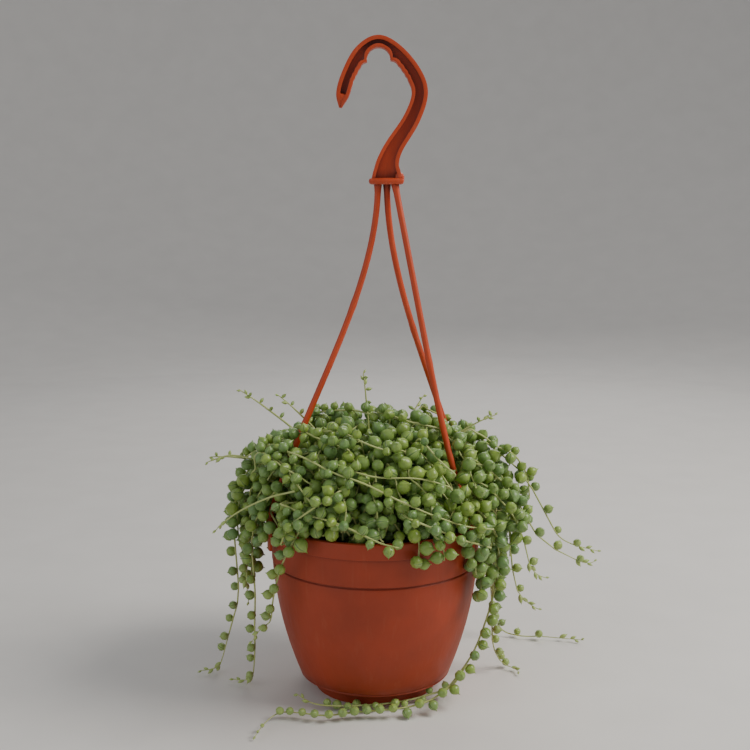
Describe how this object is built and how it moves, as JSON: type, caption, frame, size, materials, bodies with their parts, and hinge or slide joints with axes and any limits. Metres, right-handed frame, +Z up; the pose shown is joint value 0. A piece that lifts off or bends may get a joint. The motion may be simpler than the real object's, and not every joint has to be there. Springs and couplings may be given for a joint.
{
  "type": "potted string of pearls",
  "caption": "Trailing succulent with bead-like leaves mounded over a round plastic pot that has a clip-on three-legged hanging hook.",
  "frame": {"origin": "centre of the pot's foot on its underside, on the ground", "axes": "+Z up along the pot's axis, -Y towards the front, +X to the right as seen from the front"},
  "size_m": [0.2787, 0.1871, 0.4318],
  "materials": {
    "pot": "matt moulded plastic, terracotta red",
    "hanger": "satin moulded plastic, orange red",
    "potting_soil": "crumbly dark peat",
    "foliage": "smooth waxy leaf, green"
  },
  "bodies": {
    "root": {"pot": "pot", "hanger": "hanger", "potting_soil": "potting_soil", "shoot_1": "foliage", "shoot_2": "foliage", "shoot_3": "foliage", "shoot_4": "foliage", "shoot_6": "foliage", "shoot_7": "foliage", "strand_01": "foliage", "strand_02": "foliage", "strand_03": "foliage", "strand_04": "foliage", "strand_05": "foliage", "strand_06": "foliage", "strand_07": "foliage", "strand_08": "foliage", "strand_09": "foliage", "strand_10": "foliage", "strand_11": "foliage", "strand_12": "foliage", "strand_13": "foliage", "strand_14": "foliage", "strand_15": "foliage", "strand_16": "foliage", "strand_17": "foliage", "strand_18": "foliage", "strand_19": "foliage", "strand_20": "foliage", "strand_21": "foliage", "strand_22": "foliage", "strand_23": "foliage", "strand_24": "foliage", "strand_25": "foliage", "strand_26": "foliage", "strand_27": "foliage", "strand_28": "foliage", "strand_29": "foliage", "strand_30": "foliage", "strand_31": "foliage", "strand_32": "foliage", "strand_33": "foliage", "strand_34": "foliage", "strand_35": "foliage", "strand_36": "foliage", "strand_37": "foliage", "strand_38": "foliage", "strand_39": "foliage", "strand_40": "foliage", "strand_front_long": "foliage", "strand_left_front": "foliage", "strand_left_inner": "foliage", "strand_left_outer": "foliage", "strand_left_short": "foliage", "strand_right_back": "foliage", "strand_right_front_high": "foliage", "strand_right_front_low": "foliage", "strand_right_high": "foliage", "strand_right_inner": "foliage", "strand_right_side": "foliage"}
  },
  "joints": []
}
